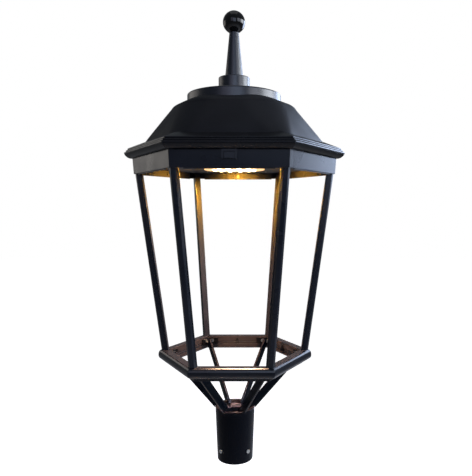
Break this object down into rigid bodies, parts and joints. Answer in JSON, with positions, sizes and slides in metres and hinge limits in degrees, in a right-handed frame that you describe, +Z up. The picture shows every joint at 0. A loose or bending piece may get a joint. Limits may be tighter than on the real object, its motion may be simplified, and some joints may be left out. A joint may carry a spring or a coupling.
{
  "type": "outdoor lantern",
  "caption": "Black six-sided post-top lantern with an open cage, hinged canopy, cap plate and ball finial.",
  "frame": {"origin": "middle of the sleeve's lower face, where the lantern meets its pole", "axes": "+Z up along the pole, front with the forked catch towards -Y, hinge at +Y, +X to the right seen from the front"},
  "size_m": [0.483, 0.4381, 0.9839],
  "materials": {
    "black_coat": "satin powder coat",
    "bright_steel": "plain",
    "bare_alloy": "rolled sheet",
    "pale_plastic": "matt",
    "clear_plate": "clear and glossy",
    "rubber_seal": "matt"
  },
  "bodies": {
    "frame": {"spigot_sleeve": "black_coat", "arm_1": "black_coat", "arm_2": "black_coat", "arm_3": "black_coat", "arm_4": "black_coat", "arm_5": "black_coat", "arm_6": "black_coat", "lower_ring": "black_coat", "foot_bracket_1": "black_coat", "foot_bracket_2": "black_coat", "foot_bracket_3": "black_coat", "foot_bracket_4": "black_coat", "foot_bracket_5": "black_coat", "foot_bracket_6": "black_coat", "pane_clips": "black_coat", "post_1": "black_coat", "post_2": "black_coat", "post_3": "black_coat", "post_4": "black_coat", "post_5": "black_coat", "post_6": "black_coat", "top_band": "black_coat", "gear_tray": "black_coat", "catch_keeper": "black_coat", "hinge_leaf_fixed": "black_coat", "sleeve_set_screws": "bright_steel", "bracket_screws": "bright_steel", "post_foot_screws": "bright_steel", "post_head_screws": "bright_steel", "tray_screws": "bright_steel", "driver_screws": "bright_steel", "hinge_screws": "bright_steel", "hinge_pin": "bright_steel", "heat_sink": "bare_alloy", "led_driver": "pale_plastic", "terminal_block": "pale_plastic", "cable_gland": "pale_plastic", "led_board": "pale_plastic", "led_lens_plate": "clear_plate"},
    "hood": {"canopy_rim": "black_coat", "canopy_gasket": "rubber_seal", "hinge_leaf_moving": "black_coat", "leaf_screws": "bright_steel", "hood_catch": "black_coat", "catch_pins": "bright_steel", "hood_shell": "black_coat", "hood_screws": "bright_steel", "cap_disc": "black_coat", "finial_drum": "black_coat", "finial_stem": "black_coat", "finial_ball": "black_coat", "finial_rod": "bright_steel", "finial_washer": "bright_steel", "finial_nut": "bright_steel"}
  },
  "joints": [
    {"name": "hood_hinge", "type": "hinge", "parent": "frame", "child": "hood", "pos_m": [0, 0.216, 0.662], "axis": [-1, 0, 0], "range_deg": [0, 80]}
  ]
}
